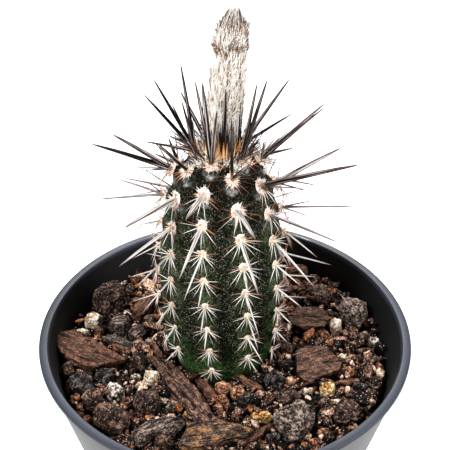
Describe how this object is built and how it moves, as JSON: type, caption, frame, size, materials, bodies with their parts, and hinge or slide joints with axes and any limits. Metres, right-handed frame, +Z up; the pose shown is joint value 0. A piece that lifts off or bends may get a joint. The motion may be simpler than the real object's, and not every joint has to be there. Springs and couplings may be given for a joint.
{
  "type": "potted echinopsis cactus",
  "caption": "Short ribbed column cactus with long spines and a tall woolly bud on its crown, planted in a round black nursery pot of bark and lava mix.",
  "frame": {"origin": "middle of the pot's foot ring, on the surface that the pot stands on", "axes": "+Z up along the pot's axis, +Y away from the front of the plant, +X to the right"},
  "size_m": [0.11, 0.11, 0.1842],
  "materials": {
    "pot": "satin",
    "potting_mix": "matte",
    "stem": "satin",
    "bud": "matte",
    "spines": "satin",
    "bark": "matte",
    "lava": "matte",
    "pumice": "matte"
  },
  "bodies": {
    "root": {"pot": "pot", "potting_mix": "potting_mix", "cactus_stem": "stem", "flower_bud": "bud", "central_spine_a1": "spines", "central_spine_a2": "spines", "central_spine_a3": "spines", "central_spine_a4": "spines", "central_spine_b1": "spines", "central_spine_b2": "spines", "central_spine_b3": "spines", "central_spine_c1": "spines", "central_spine_c2": "spines", "central_spine_c3": "spines", "central_spine_d1": "spines", "central_spine_d2": "spines", "central_spine_d3": "spines", "central_spine_e1": "spines", "central_spine_e2": "spines", "central_spine_e3": "spines", "central_spine_e4": "spines", "central_spine_f1": "spines", "central_spine_f2": "spines", "central_spine_f3": "spines", "central_spine_g1": "spines", "central_spine_h2": "spines", "central_spine_i2": "spines", "central_spine_j1": "spines", "lava_left_back": "lava", "lava_left_mid": "lava", "lava_left_wall": "lava", "lava_left_pair": "lava", "lava_left_pale": "lava", "lava_left_low": "lava", "lava_front_round": "lava", "lava_front_left": "lava", "lava_right_back": "lava", "lava_right_grey": "lava", "lava_front_black": "lava", "lava_front_long": "lava", "lava_front_large": "lava", "lava_front_right": "lava", "pumice_left": "pumice", "pumice_front_left": "pumice", "pumice_right": "pumice", "pumice_front_right": "pumice", "pumice_front_tan": "pumice", "bark_left_long": "bark", "bark_left_block": "bark", "bark_left_stub": "bark", "bark_left_flake": "bark", "bark_left_round": "bark", "bark_stick_long": "bark", "bark_stick_short": "bark", "bark_front_ribbed": "bark", "bark_front_long": "bark", "bark_right_back": "bark", "bark_right_flat": "bark", "bark_right_slab": "bark", "bark_back": "bark"}
  },
  "joints": []
}
